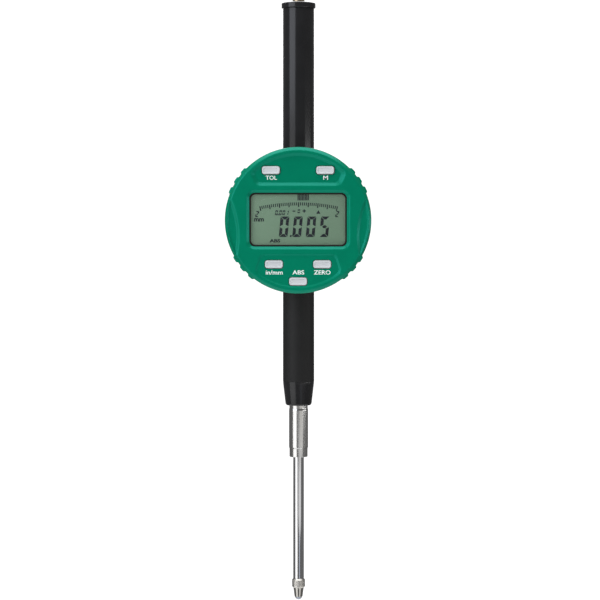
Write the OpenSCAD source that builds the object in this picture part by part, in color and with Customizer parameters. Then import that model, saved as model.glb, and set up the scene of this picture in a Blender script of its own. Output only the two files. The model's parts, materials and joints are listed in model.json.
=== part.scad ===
// Digital dial indicator with a long-travel spindle, as an assembly of separate pieces.
// Millimetres. +Z runs up the spindle axis and the display faces -Y.
// The origin is on the spindle axis, at the middle of the stem's clamping land.

/* [Stem and spindle] */
// Diameter of the clamping stem
stem_d = 8; // [7.9:0.1:8.6]
// Length of the full-diameter land of the stem
stem_land = 15.6; // [15:0.2:16.4]
// Diameter of the measuring spindle
spindle_d = 4.5; // [4.2:0.1:4.7]
// Travel of the spindle
travel = 50.8; // [48:0.1:50.8]
// Diameter of the contact point's ball
ball_d = 3; // [2.6:0.1:3]

/* [Housing tubes] */
// Outer diameter of both housing tubes
tube_d = 13.1; // [12.9:0.1:13.3]
// Bore of both housing tubes
tube_bore_d = 11; // [11:0.1:11.2]
// Height of the upper tube's top end
tube_top_z = 176.4; // [174:0.1:180]
// Diameter of the end cap
cap_d = 14.3; // [14:0.1:15]

/* [Display unit] */
// Height of the display's centre
dial_z = 87.5; // [87:0.1:88]
// Diameter of the display unit without its grip lobes
display_d = 60; // [59.6:0.2:61]
// Height of the grip lobes above the rim
lobe_height = 0.7; // [0.5:0.1:1]
// Width of the window opening
window_w = 39.8; // [39:0.2:40]
// Height of the window opening
window_h = 21.9; // [21.5:0.1:22]
// Travel of the keys
key_travel = 0.5; // [0.3:0.1:0.5]

/* [Rear housing] */
// Diameter of the fixed rear housing
rear_d = 57; // [56.6:0.2:58]
// Thickness of the mounting lug
lug_t = 5; // [4.8:0.1:6.4]
// Diameter of the hole in the mounting lug
lug_hole_d = 6.5; // [6:0.1:7]

/* [Hidden] */
$fn = 64;

over = 0.1;              // how far a cut runs past the face it opens

// Heights along the spindle axis
stem_r = stem_d / 2;
relief_r = stem_r - 0.2;
stem_top_z = stem_land / 2 + 2.1;
stem_bottom_z = -stem_land / 2 - 4;
nose_top_z = stem_top_z + 10;
stem_inner_z = nose_top_z + 1.1;
nose_inner_z = stem_inner_z + 2.2;
nose_small_r = 5.5;
spigot_gap = 0.03;
bush_r = 3;
bush_len = 9;
rod_r = spindle_d / 2;
rod_gap = 0.03;
rod_bottom_z = stem_bottom_z - travel - 0.4;
collar_r = 2.72;
collar_len = 3.8;
collar_chamfer = 0.45;
cone_len = 3.8;
cone_top_r = 2.2;
cone_end_r = 1.64;
stud_r = 1.22;
stud_len = 5.5;
tube_r = tube_d / 2;
bore_r = tube_bore_d / 2;
tube_entry = 5;
ball_r = ball_d / 2;
ball_z = rod_bottom_z - collar_len - cone_len + 0.24;

// Carrier that rides on the spindle's inner end
bumper_len = 3.7;
carrier_bottom_z = nose_inner_z + bumper_len + 0.1;
carrier_len = 82;
carrier_top_z = carrier_bottom_z + carrier_len;
carrier_r = 5.1;
carrier_flat_y = -3.6;
head_len = 5;
head_r = bore_r - 0.05;
strip_t = 0.5;
strip_w = 6;
strip_len = 73;
rod_stub_r = 1.7;
rod_stub_len = 10;
guide_pin_z = carrier_top_z - head_len / 2;
guide_pin_r = 0.9;
keyway_depth = 0.55;

// End cap and return spring
spigot_len = 4.3;
spring_seat_z = tube_top_z - spigot_len;
cap_height = 3.5;
cap_chamfer = 0.25;
dome_height = 1.1;
plug_r = 2.55;
plug_depth = 1.2;
plug_height = 1;
spring_wire_r = 0.3;
spring_r = 4.5;
spring_turns = 17;
spring_steps = 12;
spring_sides = 6;

// Depths of the display unit, front to back
display_r = display_d / 2;
face_y = -23.4;
upper_panel_y = -22.3;
lower_panel_y = -22.8;
inner_face_y = -20.9;
board_front_y = -18.4;
board_back_y = -17.2;
back_plate_y = -12.7;
display_rear_y = -10.9;
rim_chamfer = 1.4;
panel_edge_r = 27.7;
cavity_r = display_r - 1.8;
lobe_foot = 1.7;
lobe_top = 1.05;
lobe_angles = [24.6, 33.4, 42.2, 138, 147, 156, 212, 221, 230, 310, 319, 328];
window_at = [0, 0.25];
window_corner = 2.2;
gasket_w = 0.6;
lcd_size = [42, 24];

// Finger scoops on both sides of the face
scoop_r = 37;
scoop_centre = [-60.9, -6.6];
scoop_edge_r = 28.9;
scoop_floor_y = -22.2;

// Keys: sizes, depths and places on the face
key_size = [7.25, 3.2];
key_corner = 1;
key_gap = 0.15;
key_front_y = -23.2;
key_flange = 0.6;
key_flange_y = inner_face_y + 0.05;
key_back_y = -20.5;
key_tol_at = [-11.1, 20.45];
key_m_at = [11.1, 20.45];
key_unit_at = [-9.85, -18];
key_abs_at = [0, -25];
key_zero_at = [9.85, -18];
key_places = [key_tol_at, key_m_at, key_unit_at, key_abs_at, key_zero_at];
switch_size = [4.5, 3];
switch_top_y = key_back_y + key_travel + 0.1;

// Hub that the display unit turns on
hub_r = 8;
hub_gap = 0.05;
hub_bore_r = 5.5;
hub_end_y = -7.6;
ring_y = [-8.6, -7.9];
ring_groove_r = 7.3;
ring_outer_r = 9.2;
stop_r = 1;
stop_circle_r = 20;
stop_angle = 45;
stop_back_y = -9.5;
groove_floor_y = -9.3;
groove_sweep = 270;
o_ring_r = 10;
o_ring_wire_r = 0.5;
o_ring_y = -10.38;

// Battery tray
tray_x0 = 4.4;
tray_y = [-16.6, -12.9];
tray_half_z = 10.6;
tray_gap = 0.2;
coin_r = 10;
coin_t = 3.2;
coin_x = 15.2;
coin_front_y = -16.5;

// Rear housing and frame block
rear_r = rear_d / 2;
rear_wall = 1.8;
rear_front_y = -10.5;
rear_inner_y = rear_front_y + rear_wall;
rear_back_y = 9;
cover_back_y = 11;
block_x = 9;
block_y = [-7.3, 7.9];
block_half_z = 18;
ear_x = 13.5;
ear_back_y = -3.3;
ear_height = 6;
reader_floor_y = -4.4;
reader_half = [7.6, 11.5];
reader_t = 0.8;
cover_screw_r = 26 * sqrt(0.5);
lug_y = 18;
lug_r = 6.5;
display_screw_r = 25.2 * sqrt(0.5);

// A box between two opposite corners
module box_from(low, high) {
    translate(low) cube(high - low);
}

// A round bar along Z on the spindle axis
module z_bar(r, z0, z1) {
    translate([0, 0, z0]) cylinder(r = r, h = z1 - z0);
}

// A round bar along Y at a place on the dial
module y_bar(r, y0, y1, at = [0, 0]) {
    translate([at[0], y0, dial_z + at[1]]) rotate([-90, 0, 0]) cylinder(r = r, h = y1 - y0);
}

// A flat outline drawn in X and Z about the dial centre, filled from y0 to y1
module plate(y0, y1) {
    translate([0, y1, dial_z]) rotate([90, 0, 0]) linear_extrude(y1 - y0) children();
}

// A profile of radius and Y, turned about the dial axis
module turned_dial() {
    translate([0, 0, dial_z]) rotate([-90, 0, 0]) rotate_extrude() children();
}

// A rectangle with round corners
module round_rect(size, r) {
    square([size[0] - 2 * r, size[1]], center = true);
    square([size[0], size[1] - 2 * r], center = true);
    for (sx = [-1, 1], sy = [-1, 1])
        translate([sx * (size[0] / 2 - r), sy * (size[1] / 2 - r)]) circle(r);
}

// Copies of a child at the four corners of a square on the dial
module at_corners(d) {
    for (sx = [-1, 1], sz = [-1, 1])
        translate([sx * d, 0, sz * d]) children();
}

// A pan-head screw along Y whose head is at y_head and whose tip is at y_tip
module y_screw(shank_r, head_r, y_head, y_seat, y_tip, at = [0, 0]) {
    y_bar(shank_r, min(y_seat, y_tip), max(y_seat, y_tip), at);
    difference() {
        y_bar(head_r, min(y_head, y_seat), max(y_head, y_seat), at);
        slot_depth = abs(y_head - y_seat) / 2;
        slot_y = y_head > y_seat ? y_head - slot_depth : y_head - over;
        translate([at[0] - head_r, slot_y, dial_z + at[1] - 0.2])
            cube([2 * head_r, slot_depth + over, 0.4]);
    }
}

module frame_block() {
    color("gainsboro") difference() {
        union() {
            box_from([-block_x, block_y[0], dial_z - block_half_z], [block_x, block_y[1], dial_z + block_half_z]);
            for (s = [-1, 1])
                box_from(
                    [-ear_x, block_y[0], dial_z + s * (block_half_z - ear_height / 2) - ear_height / 2],
                    [ear_x, ear_back_y, dial_z + s * (block_half_z - ear_height / 2) + ear_height / 2]);
        }
        z_bar(bore_r, dial_z - block_half_z - over, dial_z + block_half_z + over);
        z_bar(tube_r + 0.03, dial_z - block_half_z - over, dial_z - block_half_z + tube_entry);
        z_bar(tube_r + 0.03, dial_z + block_half_z - tube_entry, dial_z + block_half_z + over);
        box_from(
            [-reader_half[0] - 0.4, block_y[0] - over, dial_z - reader_half[1] - 0.4],
            [reader_half[0] + 0.4, reader_floor_y, dial_z + reader_half[1] + 0.4]);
        for (sx = [-1, 1], sz = [-1, 1]) {
            y_bar(0.72, reader_floor_y - over, -2.6 + over, [sx * 5.9, sz * 9.6]);
            y_bar(1.1, block_y[0] - over, ear_back_y + over, [sx * 11.3, sz * (block_half_z - ear_height / 2)]);
        }
        for (s = [-1, 1])
            translate([tube_r, 0, dial_z + s * (block_half_z - tube_entry / 2)])
                rotate([0, 90, 0]) cylinder(r = 1.25, h = block_x);
    }
}

module block_screws() {
    color("silver")
        for (sx = [-1, 1], sz = [-1, 1])
            y_screw(0.98, 2, ear_back_y + 1.4, ear_back_y, -8.9, [sx * 11.3, sz * (block_half_z - ear_height / 2)]);
}

module tube_set_screws() {
    color("dimgray")
        for (s = [-1, 1])
            translate([tube_r + 0.05, 0, dial_z + s * (block_half_z - tube_entry / 2)])
                rotate([0, 90, 0]) difference() {
                    cylinder(r = 1.2, h = block_x - tube_r - 0.2);
                    translate([0, 0, 1.2]) cylinder(r = 0.6, h = 2, $fn = 6);
                }
}

module rear_housing() {
    color("#222426") difference() {
        union() {
            difference() {
                y_bar(rear_r, rear_front_y, rear_back_y);
                y_bar(rear_r - rear_wall, rear_inner_y, rear_back_y + over);
            }
            intersection() {
                y_bar(rear_r - 1, rear_inner_y - 1, rear_back_y);
                at_corners(cover_screw_r) y_bar(2.6, rear_inner_y - 1, rear_back_y);
            }
            for (sx = [-1, 1], sz = [-1, 1])
                y_bar(2.2, rear_inner_y - 1, block_y[0], [sx * 11.3, sz * (block_half_z - ear_height / 2)]);
        }
        y_bar(hub_r + hub_gap, rear_front_y - over, rear_inner_y + over);
        z_bar(tube_r + 0.05, dial_z - rear_r - 1, dial_z + rear_r + 1);
        at_corners(cover_screw_r) y_bar(1, 2, rear_back_y + over);
        for (sx = [-1, 1], sz = [-1, 1])
            y_bar(1, -9, block_y[0] + over, [sx * 11.3, sz * (block_half_z - ear_height / 2)]);
        translate([0, 0, dial_z]) rotate([-90, 0, 0]) rotate([0, 0, -groove_sweep / 2])
            rotate_extrude(angle = groove_sweep)
                translate([stop_circle_r - stop_r - over, rear_front_y - over])
                    square([2 * (stop_r + over), groove_floor_y - rear_front_y + over]);
        for (s = [-1, 1])
            y_bar(stop_r + over, rear_front_y - over, groove_floor_y,
                stop_circle_r * [cos(s * groove_sweep / 2), sin(s * groove_sweep / 2)]);
        turned_dial()
            translate([o_ring_r - 0.6, rear_front_y - over]) square([1.2, 0.8]);
    }
}

module back_cover() {
    color("#2b2d30") difference() {
        union() {
            y_bar(rear_r, rear_back_y, cover_back_y);
            translate([-lug_t / 2, lug_y, dial_z]) rotate([0, 90, 0]) cylinder(r = lug_r, h = lug_t);
            box_from([-lug_t / 2, cover_back_y - 1, dial_z - lug_r], [lug_t / 2, lug_y, dial_z + lug_r]);
            y_bar(9, cover_back_y - 1, cover_back_y + 1);
        }
        translate([-lug_t, lug_y, dial_z]) rotate([0, 90, 0]) cylinder(r = lug_hole_d / 2, h = 2 * lug_t);
        at_corners(cover_screw_r) y_bar(1.2, rear_back_y - over, cover_back_y + over);
        at_corners(cover_screw_r) y_bar(2.1, cover_back_y - 1, cover_back_y + over);
    }
}

module back_cover_screws() {
    color("silver") at_corners(cover_screw_r)
        y_screw(0.98, 2, cover_back_y - 0.05, cover_back_y - 1, 3);
}

module stem() {
    color("silver") difference() {
        union() {
            z_bar(relief_r, stem_bottom_z, -stem_land / 2 + over);
            z_bar(stem_r, -stem_land / 2, stem_land / 2);
            z_bar(relief_r, stem_land / 2 - over, stem_inner_z);
        }
        z_bar(bush_r, stem_bottom_z - over, stem_inner_z + over);
    }
}

module bush(z0) {
    color("darkgoldenrod") difference() {
        z_bar(bush_r, z0, z0 + bush_len);
        z_bar(rod_r + rod_gap, z0 - over, z0 + bush_len + over);
    }
}

module lower_bush() {
    bush(stem_bottom_z + 0.3);
}

module upper_bush() {
    bush(stem_inner_z - bush_len);
}

module nose_collar() {
    color("#262626") difference() {
        union() {
            translate([0, 0, stem_top_z]) cylinder(r1 = nose_small_r - 0.4, r2 = nose_small_r, h = 0.6);
            translate([0, 0, stem_top_z + 0.6]) cylinder(r1 = nose_small_r, r2 = tube_r - 0.05, h = 8.6);
            z_bar(tube_r - 0.05, stem_top_z + 9.2, nose_top_z);
            z_bar(bore_r - spigot_gap, nose_top_z - over, nose_inner_z);
        }
        z_bar(relief_r, stem_top_z - over, stem_inner_z);
        z_bar(rod_r + 0.35, stem_inner_z - over, nose_inner_z + over);
    }
}

module lower_barrel() {
    color("#242424") difference() {
        z_bar(tube_r, nose_top_z, dial_z - block_half_z + tube_entry);
        z_bar(bore_r, nose_top_z - over, dial_z - block_half_z + tube_entry + over);
    }
}

module upper_tube() {
    bottom_z = dial_z + block_half_z - tube_entry;
    color("#242426") difference() {
        z_bar(tube_r, bottom_z, tube_top_z);
        z_bar(bore_r, bottom_z - over, tube_top_z + over);
        box_from([-1, 0, bottom_z - over], [1, bore_r + keyway_depth, guide_pin_z + travel + 3]);
    }
}

module end_cap() {
    dome_r = (pow(cap_d / 2, 2) + pow(dome_height, 2)) / (2 * dome_height);
    top_z = tube_top_z + cap_height;
    color("#202022") difference() {
        union() {
            intersection() {
                z_bar(cap_d / 2, tube_top_z + cap_chamfer, top_z);
                translate([0, 0, top_z - dome_r]) sphere(r = dome_r);
            }
            translate([0, 0, tube_top_z])
                cylinder(r1 = cap_d / 2 - cap_chamfer, r2 = cap_d / 2, h = cap_chamfer);
            z_bar(bore_r - spigot_gap, spring_seat_z, tube_top_z + over);
        }
        z_bar(plug_r, top_z - plug_depth, top_z + over);
    }
}

module cap_plug() {
    top_z = tube_top_z + cap_height;
    color("tan") union() {
        z_bar(plug_r, top_z - plug_depth, top_z + plug_height - 0.3);
        translate([0, 0, top_z + plug_height - 0.3]) cylinder(r1 = plug_r, r2 = plug_r - 0.3, h = 0.3);
    }
}

// Wire swept along a helix between the carrier and the end cap
function spring_centre(t) =
    let (z0 = carrier_top_z + spring_wire_r + 0.05, z1 = spring_seat_z - spring_wire_r - 0.05)
    [spring_r * cos(360 * spring_turns * t), spring_r * sin(360 * spring_turns * t), z0 + (z1 - z0) * t];
function spring_point(t, a) =
    let (c = spring_centre(t), out = [c[0], c[1], 0] / spring_r)
    c + spring_wire_r * (cos(a) * out + sin(a) * [0, 0, 1]);
module return_spring() {
    rings = spring_turns * spring_steps;
    points = [for (i = [0:rings], k = [0:spring_sides - 1]) spring_point(i / rings, 360 * k / spring_sides)];
    sides = [for (i = [0:rings - 1], k = [0:spring_sides - 1])
        let (n = (k + 1) % spring_sides, a = i * spring_sides, b = a + spring_sides)
        [a + k, a + n, b + n, b + k]];
    first_end = [for (k = [spring_sides - 1:-1:0]) k];
    last_end = [for (k = [0:spring_sides - 1]) rings * spring_sides + k];
    color("silver") polyhedron(points = points, faces = concat(sides, [first_end, last_end]));
}

module bumper() {
    color("#303030") difference() {
        z_bar(bore_r - 0.1, nose_inner_z, nose_inner_z + bumper_len);
        z_bar(rod_r + 0.35, nose_inner_z - over, nose_inner_z + bumper_len + over);
    }
}

module reader_board() {
    color("darkgreen") difference() {
        box_from(
            [-reader_half[0], reader_floor_y - reader_t, dial_z - reader_half[1]],
            [reader_half[0], reader_floor_y, dial_z + reader_half[1]]);
        for (sx = [-1, 1], sz = [-1, 1])
            y_bar(0.8, reader_floor_y - reader_t - over, reader_floor_y + over, [sx * 5.9, sz * 9.6]);
    }
}

module reader_chip() {
    color("#1c1c1c") box_from(
        [-2.5, reader_floor_y - reader_t - 1, dial_z + 3],
        [2.5, reader_floor_y - reader_t, dial_z + 8]);
}

module reader_screws() {
    color("silver")
        for (sx = [-1, 1], sz = [-1, 1])
            y_screw(0.7, 1.3, reader_floor_y - reader_t - 0.8, reader_floor_y - reader_t, -2.7,
                [sx * 5.9, sz * 9.6]);
}

module flex_cable() {
    color("orange") box_from(
        [-2.2, board_back_y + 0.3, dial_z - 0.1],
        [2.2, reader_floor_y - reader_t, dial_z + 0.1]);
}

module friction_ring() {
    color("#181818") turned_dial()
        translate([o_ring_r, o_ring_y]) circle(o_ring_wire_r);
}

// Outline of a recessed panel on the face, from its straight edge outwards
module panel_outline(edge_z, half_w, flare, reach) {
    polygon([
        [-half_w, edge_z], [half_w, edge_z],
        [half_w + flare, edge_z + reach], [-half_w - flare, edge_z + reach]]);
}

module panel_cuts() {
    intersection() {
        y_bar(panel_edge_r, face_y - over, upper_panel_y);
        union() {
            plate(face_y - over, upper_panel_y) panel_outline(14.9, 17.7, 8, 15);
            plate(face_y - over, lower_panel_y) panel_outline(-13.6, 15.6, 4, -16);
        }
    }
}

module scoop_cuts() {
    for (s = [-1, 1])
        intersection() {
            y_bar(scoop_edge_r, face_y - over, scoop_floor_y);
            y_bar(scoop_r, face_y - over, scoop_floor_y, [s * -scoop_centre[0], scoop_centre[1]]);
        }
}

// A flat-topped grip lobe on the rim
module grip_lobe(a) {
    foot_r = display_r - 0.1;
    top_r = display_r + lobe_height;
    plate(face_y + rim_chamfer, back_plate_y - 0.2) rotate(a)
        polygon([
            [cavity_r + 0.4, -lobe_foot], [foot_r, -lobe_foot], [top_r, -lobe_top],
            [top_r, lobe_top], [foot_r, lobe_foot], [cavity_r + 0.4, lobe_foot]]);
}

module front_housing() {
    color("#00785a") difference() {
        union() {
            turned_dial() polygon([
                [0, face_y], [display_r - rim_chamfer, face_y], [display_r, face_y + rim_chamfer],
                [display_r, back_plate_y], [0, back_plate_y]]);
            for (a = lobe_angles) grip_lobe(a);
        }
        difference() {
            y_bar(cavity_r, inner_face_y, back_plate_y + over);
            at_corners(display_screw_r) y_bar(2.2, inner_face_y - over, back_plate_y + over);
        }
        at_corners(display_screw_r) y_bar(0.9, -19.4, back_plate_y + over);
        panel_cuts();
        scoop_cuts();
        plate(face_y - over, inner_face_y + over)
            translate(window_at) round_rect([window_w, window_h], window_corner);
        for (at = key_places)
            plate(face_y - over, inner_face_y + over)
                translate(at) round_rect(key_size + [2, 2] * key_gap, key_corner + key_gap);
        box_from(
            [cavity_r - 6, tray_y[0] - tray_gap, dial_z - tray_half_z - tray_gap],
            [display_r + 2, back_plate_y + over, dial_z + tray_half_z + tray_gap]);
    }
}

module window_gasket() {
    color("#1b1512") difference() {
        plate(face_y + 0.35, inner_face_y - 0.1)
            translate(window_at) round_rect([window_w, window_h], window_corner);
        plate(face_y, inner_face_y) translate(window_at)
            round_rect([window_w, window_h] - [2, 2] * gasket_w, window_corner - gasket_w / 2);
    }
}

module lens() {
    color("#a8b8b0", 0.35) plate(face_y + 0.6, face_y + 1.8) translate(window_at)
        round_rect([window_w, window_h] - [2, 2] * gasket_w, window_corner - gasket_w / 2);
}

module lcd_panel() {
    color("#6e8976") plate(inner_face_y + 0.1, inner_face_y + 1.4) square(lcd_size, center = true);
}

module lcd_reflector() {
    color("white") plate(inner_face_y + 1.4, inner_face_y + 1.6) square([lcd_size[0] - 2, 19.6], center = true);
}

module lcd_holder() {
    color("#2a2a2a") difference() {
        plate(inner_face_y + 0.1, board_front_y - 0.1) square(lcd_size + [4, 3.4], center = true);
        plate(inner_face_y, inner_face_y + 1.65) square(lcd_size + [0.2, 0.2], center = true);
        for (s = [-1, 1])
            plate(inner_face_y + 1, board_front_y) translate([0, s * 10.9]) square([38.4, 1.8], center = true);
    }
}

module zebra_strips() {
    color("#3a3a44")
        for (s = [-1, 1])
            plate(inner_face_y + 1.4, board_front_y) translate([0, s * 10.9]) square([38, 1.6], center = true);
}

module main_board() {
    color("#0b5a2e") difference() {
        y_bar(cavity_r - 0.6, board_front_y, board_back_y);
        at_corners(display_screw_r) y_bar(2.5, board_front_y - over, board_back_y + over);
        for (sx = [-1, 1], sz = [-1, 1])
            y_bar(0.9, board_front_y - over, board_back_y + over, [sx * 22.3, sz * 14.6]);
    }
}

module controller_chip() {
    color("#1c1c1c") box_from([-14, board_back_y, dial_z - 5], [-6, board_back_y + 1.2, dial_z + 5]);
}

module tact_switches() {
    color("#202020")
        for (at = key_places)
            plate(switch_top_y, board_front_y) translate(at) square(switch_size, center = true);
}

module battery_contacts() {
    color("#c9b37a")
        for (s = [-1, 1])
            box_from(
                [coin_x - 6, board_back_y, dial_z + s * 4 - 1],
                [coin_x + 5, board_back_y + 0.4, dial_z + s * 4 + 1]);
}

module flex_connector() {
    color("#e8e0c8") difference() {
        box_from([-3.8, board_back_y, dial_z - 3.8], [3.8, board_back_y + 1.4, dial_z + 3.8]);
        y_bar(2.6, board_back_y - over, board_back_y + 2);
    }
}

module board_screws() {
    color("silver")
        for (sx = [-1, 1], sz = [-1, 1])
            y_screw(0.85, 1.4, board_back_y + 1, board_back_y, board_front_y - 0.4, [sx * 22.3, sz * 14.6]);
}

module display_back() {
    color("#1f2123") difference() {
        union() {
            y_bar(display_r - 0.2, back_plate_y, display_rear_y);
            y_bar(hub_r, display_rear_y - over, hub_end_y);
        }
        y_bar(hub_bore_r, back_plate_y - over, hub_end_y + over);
        difference() {
            y_bar(ring_outer_r, ring_y[0], ring_y[1]);
            y_bar(ring_groove_r, ring_y[0] - over, ring_y[1] + over);
        }
        y_bar(stop_r, display_rear_y - 1, display_rear_y + over, stop_circle_r * [cos(stop_angle), sin(stop_angle)]);
        at_corners(display_screw_r) y_bar(1.1, back_plate_y - over, display_rear_y + over);
        at_corners(display_screw_r) y_bar(1.9, display_rear_y - 1, display_rear_y + over);
    }
}

module housing_screws() {
    color("silver") at_corners(display_screw_r)
        y_screw(0.88, 1.8, display_rear_y - 0.1, display_rear_y - 1, -19);
}

module stop_pin() {
    color("silver")
        y_bar(stop_r - 0.02, display_rear_y - 1, stop_back_y, stop_circle_r * [cos(stop_angle), sin(stop_angle)]);
}

module retaining_ring() {
    color("#8c8c90") difference() {
        y_bar(ring_outer_r, ring_y[0], ring_y[1]);
        y_bar(ring_groove_r, ring_y[0] - over, ring_y[1] + over);
        box_from([-1.5, ring_y[0] - over, dial_z - ring_outer_r - 1], [1.5, ring_y[1] + over, dial_z - 6]);
    }
}

// A key: a cap that stands in its opening and a flange behind the face
module key(at) {
    color("#d3d6d8") union() {
        plate(key_front_y, key_back_y) translate(at) round_rect(key_size, key_corner);
        plate(key_flange_y, key_back_y) translate(at)
            square(key_size + [2, 2] * key_flange, center = true);
    }
}

module button_tol() {
    key(key_tol_at);
}

module button_m() {
    key(key_m_at);
}

module button_unit() {
    key(key_unit_at);
}

module button_abs() {
    key(key_abs_at);
}

module button_zero() {
    key(key_zero_at);
}

module battery_tray() {
    color("#202224") difference() {
        intersection() {
            box_from([tray_x0, tray_y[0], dial_z - tray_half_z], [display_r, tray_y[1], dial_z + tray_half_z]);
            y_bar(display_r, tray_y[0] - over, tray_y[1] + over);
        }
        y_bar(coin_r + 0.1, tray_y[0] - over, coin_front_y + coin_t + 0.05, [coin_x, 0]);
    }
}

module coin_cell() {
    color("silver") y_bar(coin_r, coin_front_y, coin_front_y + coin_t, [coin_x, 0]);
}

module spindle() {
    color("#d8dade") difference() {
        union() {
            z_bar(rod_r, rod_bottom_z, carrier_bottom_z);
            z_bar(rod_stub_r, carrier_bottom_z - over, carrier_bottom_z + rod_stub_len);
        }
        z_bar(stud_r + 0.03, rod_bottom_z - over, rod_bottom_z + stud_len + 0.5);
    }
}

module contact_point() {
    color("#c8c6c0") difference() {
        union() {
            translate([0, 0, rod_bottom_z]) rotate([180, 0, 0]) {
                cylinder(r1 = collar_r - collar_chamfer, r2 = collar_r, h = collar_chamfer);
                translate([0, 0, collar_chamfer]) cylinder(r = collar_r, h = collar_len - 2 * collar_chamfer);
                translate([0, 0, collar_len - collar_chamfer])
                    cylinder(r1 = collar_r, r2 = collar_r - collar_chamfer, h = collar_chamfer);
                translate([0, 0, collar_len]) cylinder(r1 = cone_top_r - 0.03, r2 = cone_end_r, h = cone_len);
            }
            z_bar(stud_r, rod_bottom_z - over, rod_bottom_z + stud_len);
        }
        translate([0, 0, ball_z]) sphere(r = ball_r);
    }
}

module contact_ball() {
    color("#b9bbc0") translate([0, 0, ball_z]) sphere(r = ball_r);
}

module scale_carrier() {
    color("#b8bcc0") difference() {
        union() {
            z_bar(carrier_r, carrier_bottom_z, carrier_top_z - head_len + over);
            z_bar(head_r, carrier_top_z - head_len, carrier_top_z);
        }
        box_from(
            [-carrier_r - 1, -carrier_r - 1, carrier_bottom_z - over],
            [carrier_r + 1, carrier_flat_y, carrier_top_z - head_len]);
        z_bar(rod_stub_r + 0.02, carrier_bottom_z - over, carrier_bottom_z + rod_stub_len + 0.3);
        translate([0, 0, guide_pin_z]) rotate([-90, 0, 0]) cylinder(r = guide_pin_r + 0.01, h = head_r + over);
        translate([0, 0, carrier_bottom_z + 5]) rotate([-90, 0, 0]) cylinder(r = 0.82, h = carrier_r + over);
    }
}

module scale_strip() {
    color("#d9d2b0") box_from(
        [-strip_w / 2, carrier_flat_y - strip_t, carrier_bottom_z + 0.3],
        [strip_w / 2, carrier_flat_y, carrier_bottom_z + 0.3 + strip_len]);
}

module guide_pin() {
    color("silver") translate([0, 0.1, guide_pin_z]) rotate([-90, 0, 0])
        cylinder(r = guide_pin_r, h = bore_r + keyway_depth - 0.25);
}

module carrier_set_screw() {
    color("dimgray") translate([0, rod_stub_r + 0.05, carrier_bottom_z + 5]) rotate([-90, 0, 0]) difference() {
        cylinder(r = 0.8, h = carrier_r - rod_stub_r - 0.4);
        translate([0, 0, carrier_r - rod_stub_r - 1.2]) cylinder(r = 0.4, h = 1, $fn = 6);
    }
}

frame_block();
block_screws();
tube_set_screws();
rear_housing();
back_cover();
back_cover_screws();
stem();
lower_bush();
upper_bush();
nose_collar();
lower_barrel();
upper_tube();
end_cap();
cap_plug();
return_spring();
bumper();
reader_board();
reader_chip();
reader_screws();
flex_cable();
friction_ring();
front_housing();
window_gasket();
lens();
lcd_panel();
lcd_reflector();
lcd_holder();
zebra_strips();
main_board();
controller_chip();
tact_switches();
battery_contacts();
flex_connector();
board_screws();
display_back();
housing_screws();
stop_pin();
retaining_ring();
button_tol();
button_m();
button_unit();
button_abs();
button_zero();
battery_tray();
coin_cell();
spindle();
contact_point();
contact_ball();
scale_carrier();
scale_strip();
guide_pin();
carrier_set_screw();
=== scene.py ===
"""Looks of a digital dial indicator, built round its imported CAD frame.

The pieces are modelled in millimetres in the CAD frame (+Z up the spindle, the display facing -Y) and are
turned into metres when each mesh is made. Pieces are placed by the frame's boxes. The details of the face are
in millimetres from the dial's centre.
"""
import json
import math

import bmesh
import bpy
import numpy as np
from mathutils import Matrix, Vector
from mathutils.geometry import delaunay_2d_cdt


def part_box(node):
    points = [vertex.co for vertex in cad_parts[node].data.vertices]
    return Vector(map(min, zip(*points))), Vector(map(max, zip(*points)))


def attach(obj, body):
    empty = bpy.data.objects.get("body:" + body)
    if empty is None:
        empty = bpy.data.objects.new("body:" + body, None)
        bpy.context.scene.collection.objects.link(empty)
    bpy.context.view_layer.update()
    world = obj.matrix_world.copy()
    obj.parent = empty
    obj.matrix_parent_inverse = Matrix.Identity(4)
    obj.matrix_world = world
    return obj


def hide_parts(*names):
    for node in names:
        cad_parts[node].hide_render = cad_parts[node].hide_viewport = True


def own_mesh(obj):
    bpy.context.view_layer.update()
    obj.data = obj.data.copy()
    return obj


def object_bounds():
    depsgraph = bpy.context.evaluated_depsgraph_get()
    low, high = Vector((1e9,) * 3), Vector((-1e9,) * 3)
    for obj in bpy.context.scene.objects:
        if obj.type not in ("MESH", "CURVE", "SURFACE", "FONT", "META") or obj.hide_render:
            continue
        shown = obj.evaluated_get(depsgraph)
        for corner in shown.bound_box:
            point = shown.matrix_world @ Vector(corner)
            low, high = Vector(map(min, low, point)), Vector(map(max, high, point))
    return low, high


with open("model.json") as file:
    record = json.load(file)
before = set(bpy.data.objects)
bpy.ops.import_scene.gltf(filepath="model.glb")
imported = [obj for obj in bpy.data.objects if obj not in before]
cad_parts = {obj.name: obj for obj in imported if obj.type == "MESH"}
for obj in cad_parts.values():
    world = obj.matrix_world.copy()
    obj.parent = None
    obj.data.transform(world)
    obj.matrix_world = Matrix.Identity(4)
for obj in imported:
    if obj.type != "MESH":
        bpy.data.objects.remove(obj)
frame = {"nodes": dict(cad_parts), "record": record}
cad_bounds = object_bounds()

MM = 0.001
STEPS = 160                      # segments round a turned piece


def box_mm(node):
    """A CAD node's lowest and highest corner, in millimetres."""
    low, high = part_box(node)
    return [c / MM for c in low], [c / MM for c in high]


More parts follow.
